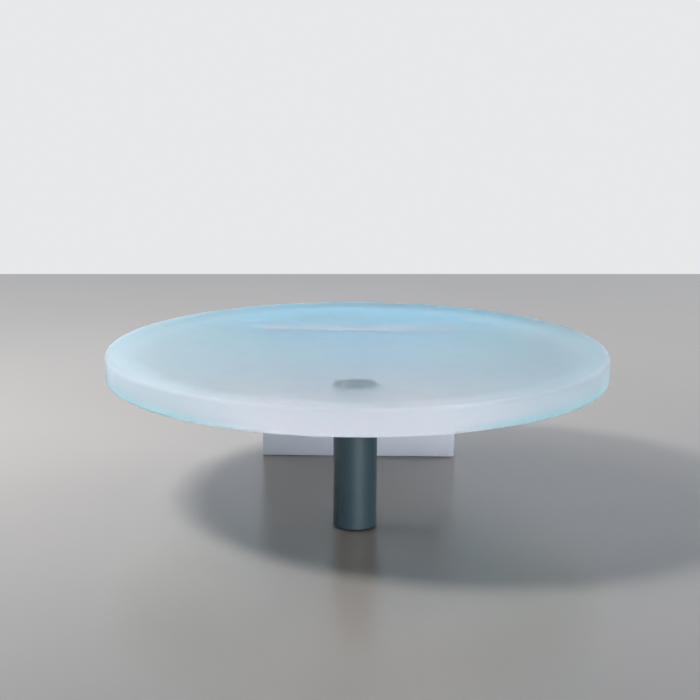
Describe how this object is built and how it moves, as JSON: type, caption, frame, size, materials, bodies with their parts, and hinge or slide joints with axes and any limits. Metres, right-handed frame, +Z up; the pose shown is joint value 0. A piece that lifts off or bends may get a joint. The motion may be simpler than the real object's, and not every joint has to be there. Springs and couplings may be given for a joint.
{
  "type": "round coffee table",
  "caption": "Low round coffee table: a thick frosted resin disc on a painted steel tube leg at the front and a wide resin slab leg at the back.",
  "frame": {"origin": "on the floor, under the centre of the disc", "axes": "+Z up, +Y towards the slab leg at the back, -Y towards the tube leg at the front"},
  "size_m": [1.22, 1.22, 0.35],
  "materials": {
    "top_resin": "frosted translucent cast resin, sky blue",
    "slab_resin": "frosted translucent cast resin, pale blue-grey",
    "clear_dowel": "clear acrylic rod",
    "painted_steel": "satin powder coat, dark blue-grey",
    "zinc_steel": "zinc plated",
    "insert_brass": "turned brass",
    "cap_nylon": "moulded black nylon",
    "gasket_rubber": "matt sheet rubber",
    "felt": "pressed wool felt"
  },
  "bodies": {
    "root": {"top": "top_resin", "slab_leg": "slab_resin", "slab_dowel_1": "clear_dowel", "slab_dowel_2": "clear_dowel", "slab_dowel_3": "clear_dowel", "slab_felt_left": "felt", "slab_felt_right": "felt", "leg_tube": "painted_steel", "leg_top_plate": "painted_steel", "leg_gasket": "gasket_rubber", "leg_end_cap": "cap_nylon", "leg_felt": "felt", "leg_insert_1": "insert_brass", "leg_insert_2": "insert_brass", "leg_insert_3": "insert_brass", "leg_insert_4": "insert_brass", "leg_screw_1": "zinc_steel", "leg_screw_2": "zinc_steel", "leg_screw_3": "zinc_steel", "leg_screw_4": "zinc_steel", "leg_washer_1": "zinc_steel", "leg_washer_2": "zinc_steel", "leg_washer_3": "zinc_steel", "leg_washer_4": "zinc_steel"}
  },
  "joints": []
}
